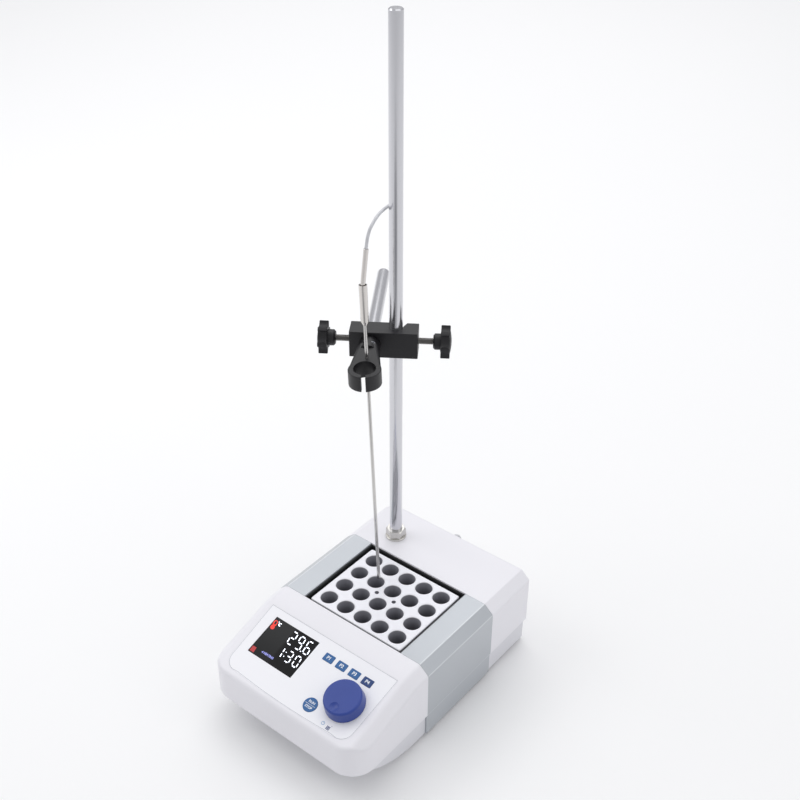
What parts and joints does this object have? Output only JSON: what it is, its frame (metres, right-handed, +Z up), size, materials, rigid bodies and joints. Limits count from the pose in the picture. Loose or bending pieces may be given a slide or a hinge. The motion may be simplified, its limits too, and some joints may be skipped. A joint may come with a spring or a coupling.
{
  "type": "sample incubator",
  "caption": "Bench dry block heater for sample tubes, with a sloping control panel, support rod, clamp head and outside temperature probe.",
  "frame": {"origin": "on the bench, under the middle of the instrument's bounding box without the probe cable", "axes": "+Z up along the support rod, -Y towards the person who reads the panel, +X to that person's right"},
  "size_m": [0.2271, 0.3105, 0.595],
  "materials": {
    "white_shell": "fine satin moulding",
    "grey_sheet": "satin lacquer with bright edges",
    "dark_tray": "fine powder coat",
    "rubber": "matte",
    "steel": "ground and polished",
    "zinc_screw": "zinc plated",
    "block_aluminium": "bead blasted and anodised",
    "seal_rubber": "matte",
    "liner_black": "matte black",
    "insulation": "felt",
    "heater": "heater foil on a plate",
    "skin_print": "printed film",
    "display_glass": "smoked",
    "module_black": "matte",
    "key_blue": "satin",
    "knob_blue": "satin",
    "board_green": "solder mask",
    "clamp_black": "satin black",
    "star_black": "satin black",
    "handle_chrome": "polished",
    "sleeve_chrome": "polished",
    "cable_grey": "smooth",
    "plug_metal": "satin",
    "black_plastic": "fine grain"
  },
  "bodies": {
    "housing": {"front_housing": "white_shell", "back_housing": "white_shell", "left_side_panel": "grey_sheet", "right_side_panel": "grey_sheet", "base_tray": "dark_tray", "rubber_feet": "rubber", "tray_screws": "zinc_screw", "well_liner": "liner_black", "well_seal": "seal_rubber", "heater_insulation": "insulation", "block_base": "block_aluminium", "tube_block": "block_aluminium", "heater_plate": "heater", "panel_skin": "skin_print", "display_window": "display_glass", "display_module": "module_black", "rotary_encoder": "zinc_screw", "control_board": "board_green", "board_screws": "zinc_screw", "key_switches": "module_black", "rod_socket": "zinc_screw", "sensor_socket": "plug_metal", "cable_plug": "plug_metal", "cable_to_socket": "cable_grey", "power_inlet": "black_plastic", "rocker_frame": "black_plastic", "power_supply": "board_green"},
    "support_rod": {"support_rod": "steel", "rod_nut": "plug_metal"},
    "clamp_head": {"clamp_head": "clamp_black", "cable_at_clamp": "cable_grey"},
    "arm": {"arm_rod": "steel", "cable_at_arm": "cable_grey"},
    "probe_holder": {"probe_holder": "clamp_black", "holder_grub_screw": "zinc_screw", "cable_at_holder": "cable_grey"},
    "probe": {"probe_tube": "steel", "probe_handle": "handle_chrome", "probe_sleeve": "sleeve_chrome", "cable_at_probe": "cable_grey"},
    "arm_clamp_screw": {"arm_clamp_screw": "steel"},
    "arm_clamp_knob": {"arm_clamp_knob": "star_black"},
    "rod_clamp_screw": {"rod_clamp_screw": "steel"},
    "rod_clamp_knob": {"rod_clamp_knob": "star_black"},
    "encoder_shaft": {"encoder_shaft": "steel"},
    "control_knob": {"control_knob": "knob_blue"},
    "power_rocker": {"power_rocker": "black_plastic"},
    "run_stop_key": {"run_stop_key": "key_blue"},
    "program_key_1": {"program_key_1": "key_blue"},
    "program_key_2": {"program_key_2": "key_blue"},
    "program_key_3": {"program_key_3": "key_blue"},
    "program_key_4": {"program_key_4": "key_blue"}
  },
  "joints": [
    {"name": "rod_turn", "type": "hinge", "parent": "housing", "child": "support_rod", "pos_m": [-0.01997, 0.06163, 0.086], "axis": [0, 0, 1], "range_deg": [-30, 38]},
    {"name": "clamp_height", "type": "slide", "parent": "support_rod", "child": "clamp_head", "axis": [0, 0, 1], "range_m": [0, 0.215], "deforming": ["cable_to_socket", "cable_at_clamp"]},
    {"name": "arm_reach", "type": "slide", "parent": "clamp_head", "child": "arm", "axis": [0.5664, -0.8241, 0], "range_m": [0, 0.065], "deforming": ["cable_at_arm"]},
    {"name": "holder_swivel", "type": "hinge", "parent": "arm", "child": "probe_holder", "pos_m": [-0.02111, 0.02445, 0.309], "axis": [-0.5664, 0.8241, 0], "range_deg": [-45, 45], "deforming": ["cable_at_holder"]},
    {"name": "probe_depth", "type": "slide", "parent": "probe_holder", "child": "probe", "axis": [0.0878, -0.0491, -0.9949], "range_m": [-0.06, 0.028], "deforming": ["cable_at_probe"]},
    {"name": "arm_screw_travel", "type": "slide", "parent": "clamp_head", "child": "arm_clamp_screw", "axis": [-0.8241, -0.5664, 0], "range_m": [0, 0.002]},
    {"name": "arm_knob_turn", "type": "hinge", "parent": "arm_clamp_screw", "child": "arm_clamp_knob", "pos_m": [-0.05705, 0.03614, 0.309], "axis": [-0.8241, -0.5664, 0], "range_deg": [0, 720]},
    {"name": "rod_screw_travel", "type": "slide", "parent": "clamp_head", "child": "rod_clamp_screw", "axis": [0.8241, 0.5664, 0], "range_m": [0, 0.002]},
    {"name": "rod_knob_turn", "type": "hinge", "parent": "rod_clamp_screw", "child": "rod_clamp_knob", "pos_m": [0.01712, 0.08712, 0.309], "axis": [0.8241, 0.5664, 0], "range_deg": [0, 720]},
    {"name": "knob_press", "type": "slide", "parent": "housing", "child": "encoder_shaft", "axis": [0, 0.2957, -0.9553], "range_m": [0, 0.0005], "stiffness_N_per_m": 4000, "springref_m": -0.0008},
    {"name": "knob_turn", "type": "hinge", "parent": "encoder_shaft", "child": "control_knob", "pos_m": [0.07373, -0.1223, 0.07299], "axis": [0, -0.2957, 0.9553], "continuous": true},
    {"name": "program_key_1_press", "type": "slide", "parent": "housing", "child": "program_key_1", "axis": [0, 0.2957, -0.9553], "range_m": [0, 0.0003], "stiffness_N_per_m": 4000, "springref_m": -0.0005},
    {"name": "program_key_2_press", "type": "slide", "parent": "housing", "child": "program_key_2", "axis": [0, 0.2957, -0.9553], "range_m": [0, 0.0003], "stiffness_N_per_m": 4000, "springref_m": -0.0005},
    {"name": "program_key_3_press", "type": "slide", "parent": "housing", "child": "program_key_3", "axis": [0, 0.2957, -0.9553], "range_m": [0, 0.0003], "stiffness_N_per_m": 4000, "springref_m": -0.0005},
    {"name": "program_key_4_press", "type": "slide", "parent": "housing", "child": "program_key_4", "axis": [0, 0.2957, -0.9553], "range_m": [0, 0.0003], "stiffness_N_per_m": 4000, "springref_m": -0.0005},
    {"name": "run_stop_press", "type": "slide", "parent": "housing", "child": "run_stop_key", "axis": [0, 0.2957, -0.9553], "range_m": [0, 0.0003], "stiffness_N_per_m": 4000, "springref_m": -0.0005},
    {"name": "power_rocker_tilt", "type": "hinge", "parent": "housing", "child": "power_rocker", "pos_m": [0.03973, 0.09963, 0.054], "axis": [-1, 0, 0], "range_deg": [0, 16]}
  ],
  "couplings": [
    {"joint": "arm_knob_turn", "follows": "arm_screw_travel", "rad_per_m": 6283.2},
    {"joint": "rod_knob_turn", "follows": "rod_screw_travel", "rad_per_m": 6283.2}
  ]
}
